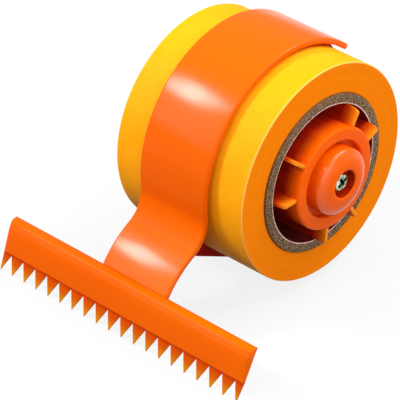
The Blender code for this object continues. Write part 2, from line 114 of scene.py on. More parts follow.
# Hubs, with heights outwards from the middle of the web
HUB_START = 2.9 * MM
HUB_END = ROLL_OUTER + 8.0 * MM
HUB_RADIUS = 28.4 * MM
HUB_WALL = 2.2 * MM
HUB_FLOOR = 48.0 * MM
HUB_BORE_RADIUS = BOSS_RADIUS + SEAT_GAP
HUB_RECESS_RADIUS = 21.3 * MM
HUB_FLOOR_ROUND = 0.5 * MM
HUB_INNER_RIM_ROUND = 1.0 * MM
HUB_OUTER_RIM_ROUND = 1.6 * MM
FIN_PAIRS = 3
FIN_FIRST_ANGLE = 18.5
FIN_PAIR_ANGLE = 19.0
FIN_THICKNESS = 2.1 * MM
FIN_EDGE_ROUND = 0.35 * MM
FIN_ROOT_OVERLAP = 1.0 * MM
FIN_SETBACK = 0.9 * MM
FIN_LEAD_LENGTH = 7.2 * MM
FIN_LEAD_DROP = 1.9 * MM
FIN_LEAD_STEPS = 12

# Caps
CAP_TOP = ROLL_OUTER + 15.0 * MM
CAP_SHOULDER = ROLL_OUTER + 11.0 * MM
CAP_SEAT = ROLL_OUTER + 9.8 * MM
CAP_SKIRT = HUB_FLOOR + 0.6 * MM
CAP_RADIUS = 18.2 * MM
CAP_HOLE_RADIUS = 7.6 * MM
CAP_LIP_RADIUS = CAP_HOLE_RADIUS + 0.8 * MM
CAP_WALL = 2.2 * MM
CAP_SPIGOT_RADIUS = 10.5 * MM
CAP_SHANK_HOLE_RADIUS = 2.4 * MM
CAP_DOME_STEPS = 24

# Cap screws; each end of the cross cut is height over the head, reach and half width, in millimetres
SCREW_TOP = ROLL_OUTER + 12.9 * MM
SCREW_HEAD_HEIGHT = 2.8 * MM
SCREW_HEAD_RADIUS = 5.0 * MM
SCREW_DOME_HEIGHT = 1.3 * MM
SCREW_DOME_ROUND = 1.8 * MM
SCREW_DOME_START = 10
SCREW_DOME_STEPS = 8
SCREW_LENGTH = 21.0 * MM
SCREW_RADIUS = 2.1 * MM
SCREW_POINT_RADIUS = 0.7 * MM
CROSS_CUT = ((0.4, 3.7, 1.05), (-2.1, 2.0, 0.60))
CROSS_ANGLE = math.radians(27)

# Fineness of the round forms
FILLET_SEGMENTS = 6
PROFILE_SEGMENTS = 7
PLATE_EDGE_SEGMENTS = 3
STRAP_END_STEPS = 6
STRAP_STEP = math.radians(1.5)
WEB_STEP = math.radians(3)

# Colours and surface
ORANGE_RED = 0.845
HUB_RED = 0.94
FLOOR_SIZE = 6.0
FLOOR_STEPS = 24
FLOOR_DROP = 0.0002
FLOOR_GLOW = 0.84
WORLD_GLOW = 0.36

# Camera
FOCAL_PIXELS = 3100.0
PICTURE_PIXELS = 400.0
SENSOR_WIDTH = 36.0
AZIMUTH = math.radians(43.25)
ELEVATION = math.radians(33.31)
CAMERA_OFFSET = Vector((905.6, -1006.7, 853.4)) * MM

# Where the strap mirrors the camera's view to: sideways, and away from the axle
MIRROR_SIDEWAYS = -0.566
MIRROR_AWAY = 0.8246

RIGHT = Matrix.Translation(AXLE)
SIDES = {"right": RIGHT, "left": RIGHT @ Matrix.Rotation(math.pi, 4, "Y")}


# Mesh helpers

def finish_mesh(name, bm, material, sharp=40.0):
    """Object at the origin that holds the bmesh, smooth shaded between sharp edges."""
    mesh = bpy.data.meshes.new(name)
    bm.to_mesh(mesh)
    bm.free()
    mesh.shade_smooth()
    mesh.set_sharp_from_angle(angle=math.radians(sharp))
    mesh.materials.append(material)
    item = bpy.data.objects.new(name, mesh)
    bpy.context.scene.collection.objects.link(item)
    return item


def fillet(points, radii, segments=FILLET_SEGMENTS, closed=True):
    """Round the corners of a 2D polyline, with one radius or each with its own."""
    count = len(points)
    out = []
    for index, point in enumerate(points):
        radius = radii[index] if isinstance(radii, (list, tuple)) else radii
        if radius <= 0 or (not closed and index in (0, count - 1)):
            out.append(Vector(point))
            continue
        here = Vector(point)
        before = Vector(points[index - 1]) - here
        after = Vector(points[(index + 1) % count]) - here
        angle = before.angle(after)
        if angle > math.radians(178):
            out.append(here)
            continue
        reach = radius / math.tan(angle / 2)
        reach = min(reach, before.length * 0.49, after.length * 0.49)
        fit = reach * math.tan(angle / 2)
        start = here + before.normalized() * reach
        end = here + after.normalized() * reach
        inwards = (before.normalized() + after.normalized()).normalized()
        centre = here + inwards * (fit / math.sin(angle / 2))
        a, b = start - centre, end - centre
        turn = a.angle_signed(b)
        for step in range(segments + 1):
            t = step / segments
            spin = Matrix.Rotation(-turn * t, 2)
            out.append(centre + spin @ a)
    return out


def add_turned(bm, profile, steps, matrix, closed=True):
    """Turn a profile of (height, radius) round the axle; heights run along X."""
    rings = []
    for height, radius in profile:
        if radius < 1e-7:
            rings.append([bm.verts.new(matrix @ Vector((height, 0, 0)))])
            continue
        ring = []
        for step in range(steps):
            angle = 2 * math.pi * step / steps
            place = Vector((height, -radius * math.cos(angle), radius * math.sin(angle)))
            ring.append(bm.verts.new(matrix @ place))
        rings.append(ring)
    pairs = list(zip(rings, rings[1:]))
    if closed:
        pairs.append((rings[-1], rings[0]))
    for first, second in pairs:
        for step in range(steps):
            following = (step + 1) % steps
            if len(first) == 1 and len(second) == 1:
                continue
            if len(first) == 1:
                bm.faces.new((first[0], second[step], second[following]))
            elif len(second) == 1:
                bm.faces.new((first[step], second[0], first[following]))
            else:
                bm.faces.new((first[step], second[step], second[following], first[following]))
    bmesh.ops.recalc_face_normals(bm, faces=bm.faces)


def add_loft(bm, sections, matrix):
    """Skin a run of equal closed sections of 3D points, with flat ends."""
    rings = [[bm.verts.new(matrix @ Vector(point)) for point in section] for section in sections]
    count = len(rings[0])
    for first, second in zip(rings, rings[1:]):
        for index in range(count):
            following = (index + 1) % count
            bm.faces.new((first[index], first[following], second[following], second[index]))
    bm.faces.new(rings[0])
    bm.faces.new(list(reversed(rings[-1])))
    bmesh.ops.recalc_face_normals(bm, faces=bm.faces)


def pour(local, bm):
    """Move a small bmesh into the larger one."""
    mesh = bpy.data.meshes.new("scratch")
    local.to_mesh(mesh)
    local.free()
    bm.from_mesh(mesh)
    bpy.data.meshes.remove(mesh)


def add_plate(bm, outline, thickness, matrix, edge):
    """Flat plate from an outline in its own plane, with rounded edges."""
    local = bmesh.new()
    low = [local.verts.new((u, v, -thickness / 2)) for u, v in outline]
    face = local.faces.new(low)
    raised = bmesh.ops.extrude_face_region(local, geom=[face])["geom"]
    top = [item for item in raised if isinstance(item, bmesh.types.BMVert)]
    bmesh.ops.translate(local, verts=top, vec=(0, 0, thickness))
    bmesh.ops.recalc_face_normals(local, faces=local.faces)
    if edge > 0:
        steep = math.radians(50)
        rim = [e for e in local.edges if len(e.link_faces) == 2 and e.calc_face_angle(0) > steep]
        bmesh.ops.bevel(local, geom=rim, offset=edge, segments=PLATE_EDGE_SEGMENTS, profile=0.5,
                        affect="EDGES")
    local.transform(matrix)
    pour(local, bm)


# Materials

class Nodes:
    """Short calls for one material's node tree."""

    def __init__(self, name):
        self.material = bpy.data.materials.new(name)
        self.material.use_nodes = True
        self.tree = self.material.node_tree
        self.shader = self.tree.nodes["Principled BSDF"]
        self.place = self.add("ShaderNodeTexCoord").outputs["Object"]

    def add(self, kind, **values):
        node = self.tree.nodes.new(kind)
        for key, value in values.items():
            setattr(node, key, value)
        return node

    def feed(self, socket, value):
        if isinstance(value, bpy.types.NodeSocket):
            self.tree.links.new(value, socket)
        else:
            socket.default_value = value

    def set(self, **values):
        for key, value in values.items():
            self.feed(self.shader.inputs[key.replace("_", " ")], value)

    def math(self, operation, a, b=0.0, c=0.0, clamp=False):
        node = self.add("ShaderNodeMath", operation=operation, use_clamp=clamp)
        for socket, value in zip(node.inputs, (a, b, c)):
            self.feed(socket, value)
        return node.outputs[0]

    def vector(self, operation, a, b=(0, 0, 0)):
        node = self.add("ShaderNodeVectorMath", operation=operation)
        self.feed(node.inputs[0], a)
        self.feed(node.inputs[1], b)
        return node.outputs["Value" if operation in ("LENGTH", "DOT_PRODUCT") else "Vector"]

    def along(self, vector, axis):
        return self.vector("DOT_PRODUCT", vector, tuple(axis))

    def share(self, value, start, length):
        """How far a value is past the start of a length, from 0 to 1; a length below zero runs down."""
        return self.math("DIVIDE", self.math("SUBTRACT", value, start), length, clamp=True)

    def millimetres(self, a, b):
        """Length from b up to a, in millimetres."""
        return self.math("MULTIPLY", self.math("SUBTRACT", a, b), 1000.0)

    def noise(self, scale, detail=3.0, roughness=0.5, place=None):
        node = self.add("ShaderNodeTexNoise")
        self.feed(node.inputs["Vector"], self.place if place is None else place)
        node.inputs["Scale"].default_value = scale
        node.inputs["Detail"].default_value = detail
        node.inputs["Roughness"].default_value = roughness
        return node.outputs["Fac"]

    def stretched_noise(self, stretch, detail, roughness):
        """Noise that is finer along some axes than others."""
        return self.noise(1.0, detail, roughness, self.vector("MULTIPLY", self.place, stretch))

    def ring_noise(self, scale, radius, detail, roughness):
        """Noise that changes with the radius alone."""
        rings = self.add("ShaderNodeCombineXYZ")
        self.feed(rings.inputs[0], self.math("MULTIPLY", radius, scale))
        return self.noise(1.0, detail, roughness, rings.outputs[0])

    def ramp(self, value, *stops):
        node = self.add("ShaderNodeValToRGB")
        node.color_ramp.interpolation = "EASE"
        elements = node.color_ramp.elements
        while len(elements) < len(stops):
            elements.new(0.5)
        for element, (position, colour) in zip(elements, stops):
            element.position = position
            element.color = (*colour, 1.0) if isinstance(colour, tuple) else (colour, colour, colour, 1.0)
        self.feed(node.inputs["Fac"], value)
        return node.outputs["Color"]

    def mix(self, factor, a, b):
        node = self.add("ShaderNodeMix", data_type="RGBA")
        self.feed(node.inputs["Factor"], factor)
        for socket, value in ((node.inputs[6], a), (node.inputs[7], b)):
            self.feed(socket, (*value, 1.0) if isinstance(value, tuple) and len(value) == 3 else value)
        return node.outputs[2]

    def bump(self, height, distance, strength=1.0, normal=None):
        node = self.add("ShaderNodeBump")
        node.inputs["Strength"].default_value = strength
        node.inputs["Distance"].default_value = distance
        self.feed(node.inputs["Height"], height)
        if normal is not None:
            self.feed(node.inputs["Normal"], normal)
        return node.outputs[0]

    def away_from(self, centre):
        return self.vector("SUBTRACT", self.place, tuple(centre))

    def side(self):
        """Distance sideways from the middle of the axle."""
        return self.math("ABSOLUTE", self.along(self.away_from(AXLE), (1, 0, 0)))

    def radius(self, centre=AXLE):
        """Distance from a line along X through the centre."""
        return self.vector("LENGTH", self.vector("MULTIPLY", self.away_from(centre), (0, 1, 1)))

    def facing_sideways(self):
        """How far the surface faces along the axle, from 0 to 1."""
        turned = self.add("ShaderNodeVectorTransform", vector_type="NORMAL", convert_from="WORLD",
                          convert_to="OBJECT")
        self.feed(turned.inputs[0], self.add("ShaderNodeNewGeometry").outputs["Normal"])
        return self.math("ABSOLUTE", self.along(turned.outputs[0], (1, 0, 0)))


def start_orange(name, red):
    """Moulded plastic with faint flow marks: nodes, colour and roughness."""
    n = Nodes(name)
    flow = n.noise(14.0, 2.0, 0.4)
    colour = n.ramp(flow, (0.30, (red - 0.015, 0.112, 0.0003)), (0.72, (red + 0.015, 0.125, 0.0006)))
    rough = n.ramp(n.noise(45.0, 3.0, 0.6), (0.25, 0.18), (0.80, 0.22))
    return n, colour, rough


def paint_shade_on_orange(n, painted_shade, colour, rough):
    """Painted shade: streaked dark orange, and duller, where the moulding is hidden from the light."""
    streak = n.stretched_noise((40.0, 500.0, 500.0), 3.0, 0.6)
    dark = n.ramp(streak, (0.35, (0.28, 0.0025, 0.0003)), (0.70, (0.46, 0.008, 0.0006)))
    return n.mix(painted_shade, colour, dark), n.mix(n.math("MULTIPLY", painted_shade, 0.8), rough, (0.6, 0.6, 0.6))


def finish_orange(n, colour, rough, gloss):
    """Orange peel and a fine speckle over the colour."""
    n.set(Base_Color=colour, Roughness=rough, IOR=1.49, Specular_IOR_Level=gloss)
    peel = n.bump(n.noise(60.0, 1.0), 0.00010, 0.15)
    n.set(Normal=n.bump(n.noise(900.0, 2.0, 0.5), 0.00002, 0.25, peel))
    return n.material


def make_frame_orange():
    """Painted shade, dark, on the web's sides; dull in the sweep under the strap, glossiest high up and out
    ahead.
    """
    n, colour, rough = start_orange("orange_plastic_moulded", ORANGE_RED)
    off = n.away_from(AXLE)
    # Painted shade: the web's sides, which face along the axle, take the dark streaked orange.
    on_web = n.math("LESS_THAN", n.side(), 2.0 * MM)
    painted_shade = n.math("MULTIPLY", n.math("GREATER_THAN", n.facing_sideways(), 0.5), on_web)
    in_sweep = n.share(n.radius(AXLE + SWEEP_CENTRE), 18.8 * MM, -1.8 * MM)
    rough = n.mix(in_sweep, rough, (0.50, 0.50, 0.50))
    high = n.share(n.along(off, (0, 0, 1)), 12.0 * MM, 16.0 * MM)
    ahead = n.share(n.along(off, (0, -1, 0)), 70.0 * MM, 8.0 * MM)
    gloss = n.math("ADD", 0.04, n.math("MULTIPLY", n.math("MAXIMUM", high, ahead), 0.11))
    colour, rough = paint_shade_on_orange(n, painted_shade, colour, rough)
    return finish_orange(n, colour, rough, gloss)


def make_bar_orange():
    """A glossy band under the ridge, a back edge painted dark as shade, and teeth painted dark at the root
    as shade under the lip and golden at their tips as light through the thin plastic.
    """
    n, colour, rough = start_orange("orange_plastic_bar", ORANGE_RED)
    off = n.away_from(AXLE + BLADE_ORIGIN)
    down, out = n.along(off, DOWN_BLADE), n.along(off, OUT_OF_BLADE)
    from_band = n.math("ABSOLUTE", n.math("SUBTRACT", down, 4.6 * MM))
    band = n.math("DIVIDE", from_band, 2.6 * MM, clamp=True)
    gloss = n.math("SUBTRACT", 0.20, n.math("MULTIPLY", band, 0.16))
    share = n.share(down, BAR_FACE_LENGTH + 0.1 * MM, TOOTH_DEPTH)
    # Painted shade and light: teeth dark red at the root, as shade under the lip, and golden at the tips,
    # as light through the thin plastic.
    tooth = n.ramp(share, (0.0, (0.52, 0.036, 0.0004)), (0.30, (0.60, 0.075, 0.0006)),
                   (0.95, (0.68, 0.230, 0.0030)))
    colour = n.mix(n.math("GREATER_THAN", share, 0.0), colour, tooth)
    # Painted shade: a dark line along the back of the top face.
    back_edge_shade = n.math("MULTIPLY", n.math("LESS_THAN", out, 1.1 * MM), n.math("LESS_THAN", down, 0.8 * MM))
    colour = n.mix(n.math("MULTIPLY", back_edge_shade, 0.75), colour, (0.42, 0.060, 0.001))
    return finish_orange(n, colour, rough, gloss)


def make_hub_orange(name, on_cap):
    """Painted shade, darker inwards and in the cap's hole; a painted highlight makes the fin fronts paler,
    and the cap's shoulder is glossier.
    """
    n, colour, rough = start_orange(name, HUB_RED)
    side, radius = n.side(), n.radius()
    # Painted shade: darker red inside the roll and down in the cap's hole.
    inward_shade = n.math("MULTIPLY", n.share(side, ROLL_OUTER + 6.0 * MM, -8.0 * MM), 0.95)
    hole_shade = n.math("MULTIPLY", n.math("LESS_THAN", radius, CAP_HOLE_RADIUS + 0.1 * MM), 0.9)
    painted_shade = n.math("MAXIMUM", inward_shade, hole_shade)
    gloss = 0.06
    if on_cap:
        gloss = n.math("ADD", gloss, n.math("MULTIPLY", n.share(radius, 12.5 * MM, 4.0 * MM), 0.40))
    else:
        # Painted highlight: the fin fronts are paler, as if lit.
        on_fin = n.math("GREATER_THAN", radius, HUB_RADIUS + 0.4 * MM)
        front = n.math("MULTIPLY", n.share(side, ROLL_OUTER + 1.5 * MM, 5.0 * MM), on_fin)
        colour = n.mix(n.math("MULTIPLY", front, 0.85), colour, (1.0, 0.30, 0.010))
    colour, rough = paint_shade_on_orange(n, painted_shade, colour, rough)
    return finish_orange(n, colour, rough, gloss)


def make_tape():
    """Crepe paper tape: fine crinkles on the wound face, concentric turns on the ends, and a painted
    highlight along the rim of the outer end.
    """
    n = Nodes("tape_paper_wound")
    side, radius = n.side(), n.radius()
    end_face = n.ramp(n.facing_sideways(), (0.55, 0.0), (0.85, 1.0))

    turns = n.ring_noise(1500.0, radius, 4.0, 0.65)
    bands = n.ring_noise(260.0, radius, 2.0, 0.5)
    face = n.ramp(bands, (0.30, (0.955, 0.208, 0.0006)), (0.70, (0.995, 0.246, 0.0012)))
    face = n.mix(0.10, face, n.ramp(turns, (0.35, (0.70, 0.13, 0.0)), (0.65, (1.0, 0.34, 0.006))))
    # A darker brown band of the end face next to the core.
    next_to_core = n.ramp(n.millimetres(radius, CORE_OUTER_RADIUS), (0.2, 1.0), (1.1, 0.0))
    face = n.mix(n.math("MULTIPLY", next_to_core, 0.55), face, (0.50, 0.110, 0.010))

    mottle = n.noise(55.0, 4.0, 0.6)
    fibre = n.noise(420.0, 3.0, 0.6)
    outer = n.ramp(mottle, (0.30, (0.975, 0.362, 0.0020)), (0.70, (1.0, 0.392, 0.0060)))
    outer = n.mix(0.10, outer, n.ramp(fibre, (0.35, (0.88, 0.27, 0.0)), (0.68, (1.0, 0.50, 0.04))))

    # Painted highlight: a pale cream line round the rim of the outer end.
    near_end = n.ramp(n.millimetres(TAPE_OUTER, side), (0.35, 1.0), (1.2, 0.0))
    near_top = n.ramp(n.millimetres(TAPE_RADIUS, radius), (0.15, 1.0), (0.75, 0.0))
    edge = n.math("MULTIPLY", n.math("MULTIPLY", near_end, near_top), 0.5)
    n.set(Base_Color=n.mix(edge, n.mix(end_face, outer, face), (1.0, 0.68, 0.200)))
    n.set(Roughness=n.ramp(mottle, (0.2, 0.50), (0.8, 0.62)), IOR=1.45, Specular_IOR_Level=0.05)
    crepe = n.stretched_noise((900.0, 380.0, 380.0), 3.0, 0.55)
    n.set(Normal=n.bump(n.mix(end_face, crepe, turns), 0.00005, 0.25))
    return n.material


def make_board():
    """Recycled grey board, speckled, with a pale torn inner ply, and the bore painted dark red as shade
    tinted by light bounced off the orange hub.
    """
    n = Nodes("core_board_plies")
    radius = n.radius()
    speck = n.noise(1350.0, 2.0, 0.75)
    cloud = n.noise(260.0, 3.0, 0.6)
    grey = n.ramp(speck, (0.40, (0.026, 0.016, 0.009)), (0.50, (0.165, 0.092, 0.044)),
                  (0.61, (0.44, 0.30, 0.18)))
    grey = n.mix(n.ramp(cloud, (0.35, 0.0), (0.7, 0.35)), grey, (0.15, 0.080, 0.038))
    outside = n.ramp(n.millimetres(CORE_OUTER_RADIUS, radius), (0.1, 1.0), (0.7, 0.0))
    grey = n.mix(n.math("MULTIPLY", outside, 0.6), grey, (0.20, 0.070, 0.015))

    from_bore = n.millimetres(radius, CORE_BORE_RADIUS)
    torn = n.math("MULTIPLY", n.noise(520.0, 4.0, 0.8), -1.7)
    pale = n.ramp(n.math("ADD", n.math("ADD", from_bore, torn), 1.0), (0.66, 1.0), (0.80, 0.0))
    colour = n.mix(pale, grey, (0.86, 0.62, 0.56))
    # Painted shade: the bore is dark red, tinted like light bounced off the orange hub.
    bore_shade = n.ramp(n.stretched_noise((60.0, 900.0, 900.0), 4.0, 0.6), (0.32, (0.060, 0.002, 0.002)),
                   (0.60, (0.170, 0.008, 0.006)), (0.78, (0.50, 0.08, 0.06)))
    inside = n.ramp(from_bore, (0.06, 1.0), (0.10, 0.0))
    n.set(Base_Color=n.mix(inside, colour, bore_shade), Roughness=n.ramp(cloud, (0.2, 0.82), (0.8, 0.95)))
    n.set(Normal=n.bump(speck, 0.00015, 0.6), Specular_IOR_Level=0.2)
    return n.material


def make_zinc():
    """Zinc plate with greenish passivated patches, and painted shade down in the cross recess."""
    n = Nodes("zinc_steel_plated")
    # Painted shade: nearly black down in the cross recess.
    sunk = n.math("LESS_THAN", n.side(), SCREW_TOP - 0.45 * MM)
    in_cross = n.math("LESS_THAN", n.radius(), SCREW_HEAD_RADIUS - 1.0 * MM)
    recess = n.math("MULTIPLY", n.math("MULTIPLY", sunk, in_cross), 0.95)
    grain = n.noise(900.0, 3.0, 0.6)
    plate = n.ramp(n.noise(420.0, 3.0, 0.6), (0.38, (0.055, 0.085, 0.045)), (0.50, (0.36, 0.46, 0.28)),
                   (0.62, (0.86, 0.92, 0.78)))
    n.set(Base_Color=n.mix(recess, plate, (0.012, 0.016, 0.012)), Metallic=1.0)
    n.set(Roughness=n.ramp(grain, (0.3, 0.16), (0.7, 0.34)), Normal=n.bump(grain, 0.00003, 0.4))
    return n.material


def make_plain(name, low, high, roughness, scale):
    """One material that wavers between two tones, for the washers."""
    n = Nodes(name)
    grain = n.noise(scale, 4.0, 0.6)
    n.set(Base_Color=n.ramp(grain, (0.3, low), (0.7, high)))
    n.set(Roughness=n.ramp(grain, (0.2, roughness - 0.05), (0.8, min(1.0, roughness + 0.05))))
    n.set(Normal=n.bump(grain, 0.00008, 0.5))
    return n.material


# Strap and frame

def normal_of(heading):
    """Outward normal, as (Y, Z), of a surface that falls towards the front at this heading."""
    return Vector((-math.sin(heading), math.cos(heading)))


def direction_of(heading):
    """Direction towards the front, as (Y, Z), at this heading."""
    return Vector((-math.cos(heading), -math.sin(heading)))


def headings(start, end, step):
    """Even headings from start to end, both included, about one step apart."""
    count = max(1, round(abs(end - start) / step))
    return [start + (end - start) * index / count for index in range(count)] + [end]


def arc_path(start, radius, steps):
    """Arc that leaves the start point, as (point, heading) pairs; a hollow has a radius below zero."""
    centre = start - normal_of(steps[0]) * radius
    return [(centre + normal_of(heading) * radius, heading) for heading in steps[1:]]


def strap_path(end_length=TONGUE_LENGTH):
    """Top surface of the strap about the axle, rear to front, as (point, heading) pairs."""
    rear, leave = math.pi / 2 - STRAP_REAR_ANGLE, math.pi / 2 + LEAVE_ANGLE
    path = [(normal_of(heading) * STRAP_OUTER, heading) for heading in headings(rear, leave, STRAP_STEP)]
    for start, end, radius in ((leave, SWEEP_END_ANGLE, -SWEEP_RADIUS),
                               (SWEEP_END_ANGLE, BROW_END_ANGLE, BROW_RADIUS),
                               (BROW_END_ANGLE, BLADE_ANGLE, NOSE_RADIUS)):
        path += arc_path(path[-1][0], radius, headings(start, end, STRAP_STEP))
    return path + [(path[-1][0] + direction_of(BLADE_ANGLE) * end_length, BLADE_ANGLE)]


NOSE_END = strap_path(0)[-1][0]
BAR_START = NOSE_END - direction_of(BLADE_ANGLE) * BAR_RISE + normal_of(BLADE_ANGLE) * SEAT_GAP
BLADE_ORIGIN = Vector((0, BAR_START.x, BAR_START.y))
DOWN_BLADE = Vector((0, -math.cos(BLADE_ANGLE), -math.sin(BLADE_ANGLE)))
OUT_OF_BLADE = Vector((0, -math.sin(BLADE_ANGLE), math.cos(BLADE_ANGLE)))
SWEEP_REACH = STRAP_OUTER + SWEEP_RADIUS
SWEEP_CENTRE = Vector((0, -SWEEP_REACH * math.cos(LEAVE_ANGLE), -SWEEP_REACH * math.sin(LEAVE_ANGLE)))


def strap_section(point, heading, inset=0.0):
    """Rounded rectangle across the strap, hung below its top surface."""
    half, depth = STRAP_WIDTH / 2 - inset, STRAP_THICKNESS - inset
    corners = [(-half, -inset), (half, -inset), (half, -depth), (-half, -depth)]
    corner_round = max(STRAP_EDGE_ROUND - inset, 0.05 * MM)
    up = normal_of(heading)
    section = []
    for x, height in fillet(corners, corner_round):
        place = point + up * height
        section.append((x, place.x, place.y))
    return section


def make_frame_skin(material):
    """The strap with rounded edges and rear end, the web under it, and the axle's two bosses."""
    bm = bmesh.new()
    path = strap_path()
    point, heading = path[0]
    sections = []
    for step in range(STRAP_END_STEPS, 0, -1):
        angle = math.pi / 2 * step / STRAP_END_STEPS
        back = point - direction_of(heading) * STRAP_EDGE_ROUND * (math.sin(angle) - 1)
        sections.append(strap_section(back, heading, STRAP_EDGE_ROUND * (1 - math.cos(angle))))
    sections.append(strap_section(point + direction_of(heading) * STRAP_EDGE_ROUND, heading))
    sections += [strap_section(point, heading) for point, heading in path[1:]]
    add_loft(bm, sections, RIGHT)

    middle = [point - normal_of(heading) * STRAP_THICKNESS / 2 for point, heading in path]
    turns = [heading for point, heading in path]
    brow = turns.index(SWEEP_END_ANGLE)
    last = brow + round((turns.index(BROW_END_ANGLE) - brow) * WEB_BROW_SHARE)
    rear, front = Vector((FOOT_HALF_LENGTH, -AXLE.z)), Vector((-FOOT_HALF_LENGTH, -AXLE.z))
    tangent = math.acos(WEB_RADIUS / rear.length) + math.atan2(rear.x, -rear.y)
    outline = middle[1:last + 1] + [front, rear]
    outline += [Vector((WEB_RADIUS * math.sin(a), -WEB_RADIUS * math.cos(a)))
                for a in headings(tangent, math.pi * 1.5 - STRAP_REAR_ANGLE, WEB_STEP)]
    side_view = Matrix(((0, 0, 1), (1, 0, 0), (0, 1, 0))).to_4x4()
    add_plate(bm, outline, WEB_THICKNESS, RIGHT @ side_view, 0.0)
    boss = [(-BOSS_END, 0), (-BOSS_END, BOSS_RADIUS), (BOSS_END, BOSS_RADIUS), (BOSS_END, 0)]
    add_turned(bm, fillet(boss, BOSS_EDGE_ROUND, 4, closed=False), 64, RIGHT, closed=False)
    return finish_mesh("frame_skin", bm, material)


# Wedge and teeth of the cutter bar

def on_blade(x, down, out):
    """Point about the axle, from its place along the bar, down the blade and out of it."""
    return Vector((x, 0, 0)) + BLADE_ORIGIN + DOWN_BLADE * down + OUT_OF_BLADE * out


def bar_thickness_share(x):
    """The bar is thinner where its ends are rounded."""
    into = min(1.0, (BAR_LENGTH / 2 - abs(x)) / BAR_END_ROUND)
    rounded = math.sqrt(max(0.0, 1 - (1 - into) ** 2))
    return BAR_END_THICKNESS_SHARE + (1 - BAR_END_THICKNESS_SHARE) * rounded


def add_tooth(bm, low, high, tip, blunt):
    """One bevelled tooth between two places along the bar, thinner towards its blunt tip."""
    top, root = BAR_FACE_LENGTH - TOOTH_OVERLAP, BAR_FACE_LENGTH + TOOTH_STRIP
    end = root + TOOTH_DEPTH
    places = [(low, top), (low, root), (tip - blunt, end), (tip + blunt, end), (high, root), (high, top)]
    local = bmesh.new()
    back, front = [], []
    for x, down in places:
        depth = max(0.0, down - root) / TOOTH_DEPTH
        out = TOOTH_ROOT_THICKNESS + (TOOTH_TIP_THICKNESS - TOOTH_ROOT_THICKNESS) * depth
        back.append(local.verts.new(AXLE + on_blade(x, down, 0.0)))
        front.append(local.verts.new(AXLE + on_blade(x, down, out)))
    local.faces.new(back)
    local.faces.new(list(reversed(front)))
    for a in range(len(places)):
        b = (a + 1) % len(places)
        local.faces.new((back[a], front[a], front[b], back[b]))
    bmesh.ops.recalc_face_normals(local, faces=local.faces)
    rim = [e for e in local.edges if e.calc_face_angle(0) > math.radians(20)]
    bmesh.ops.bevel(local, geom=rim, offset=TOOTH_BEVEL, segments=2, profile=0.5, affect="EDGES",
                    clamp_overlap=True)
    pour(local, bm)


def make_bar_skin(material):
    """The wedge, rounded along its ridge and ends, and twenty bevelled teeth under its lip."""
    bm = bmesh.new()
    profile = fillet(BAR_PROFILE, BAR_PROFILE_RADII, PROFILE_SEGMENTS)
    half = BAR_LENGTH / 2
    xs = [BAR_LENGTH * (index / BAR_SECTIONS - 0.5) for index in range(2, BAR_SECTIONS - 1)]
    for share in BAR_END_SECTION_SHARES:
        xs += [half - BAR_END_SPAN * share, BAR_END_SPAN * share - half]
    sections = []
    for x in sorted(set(xs)):
        share = bar_thickness_share(x)
        sections.append([on_blade(x, down * MM, out * MM * share) for down, out in profile])
    add_loft(bm, sections, RIGHT)

    last = half - TOOTH_END_INSET
    pitch = 2 * last / (TOOTH_COUNT - 1)
    for index in range(TOOTH_COUNT):
        tip = -last + pitch * index
        blunt = TOOTH_FIRST_BLUNTNESS + TOOTH_BLUNTNESS_GROWTH * (index / TOOTH_COUNT) ** 2
        add_tooth(bm, max(tip - pitch / 2, -half), min(tip + pitch / 2, half), tip, blunt)
    return finish_mesh("cutter_bar_skin", bm, material, 30.0)


# Hubs, caps, screws and rolls

def make_hub_skin(side, material):
    """A hollow drum with a recessed front, and fins in pairs with a curved lead at the front."""
    bm = bmesh.new()
    matrix = SIDES[side]
    inner_wall = HUB_BORE_RADIUS + HUB_WALL
    recess_wall = HUB_RECESS_RADIUS + HUB_WALL
    drum_wall = HUB_RADIUS - HUB_WALL
    profile = [(HUB_START, HUB_BORE_RADIUS), (HUB_FLOOR, HUB_BORE_RADIUS), (HUB_FLOOR, HUB_RECESS_RADIUS),
               (HUB_END, HUB_RECESS_RADIUS), (HUB_END, HUB_RADIUS), (HUB_START, HUB_RADIUS),
               (HUB_START, drum_wall), (HUB_END - HUB_WALL, drum_wall), (HUB_END - HUB_WALL, recess_wall),
               (HUB_FLOOR - HUB_WALL, recess_wall), (HUB_FLOOR - HUB_WALL, inner_wall),
               (HUB_START, inner_wall)]
    radii = [0, 0, HUB_FLOOR_ROUND, HUB_INNER_RIM_ROUND, HUB_OUTER_RIM_ROUND] + [0] * 7
    add_turned(bm, fillet(profile, radii, PROFILE_SEGMENTS), 160, matrix)

    root, tip = HUB_RADIUS - FIN_ROOT_OVERLAP, CORE_BORE_RADIUS - SEAT_GAP
    front = HUB_END - FIN_SETBACK
    outline = [(root, HUB_START), (tip, HUB_START)]
    for step in range(FIN_LEAD_STEPS + 1):
        angle = math.pi / 2 * step / FIN_LEAD_STEPS
        outline.append((tip - FIN_LEAD_DROP * (1 - math.cos(angle)),
                        front - FIN_LEAD_LENGTH * (1 - math.sin(angle))))
    outline.append((root, front))
    for pair in range(FIN_PAIRS):
        for turn in (-FIN_PAIR_ANGLE, FIN_PAIR_ANGLE):
            angle = math.radians(FIN_FIRST_ANGLE + 360.0 / FIN_PAIRS * pair + turn)
            radial, axial = Vector((0, -math.cos(angle), math.sin(angle))), Vector((1, 0, 0))
            local = Matrix((radial, axial, radial.cross(axial))).transposed().to_4x4()
            add_plate(bm, outline, FIN_THICKNESS, matrix @ local, FIN_EDGE_ROUND)
    return finish_mesh("hub_skin_" + side, bm, material)


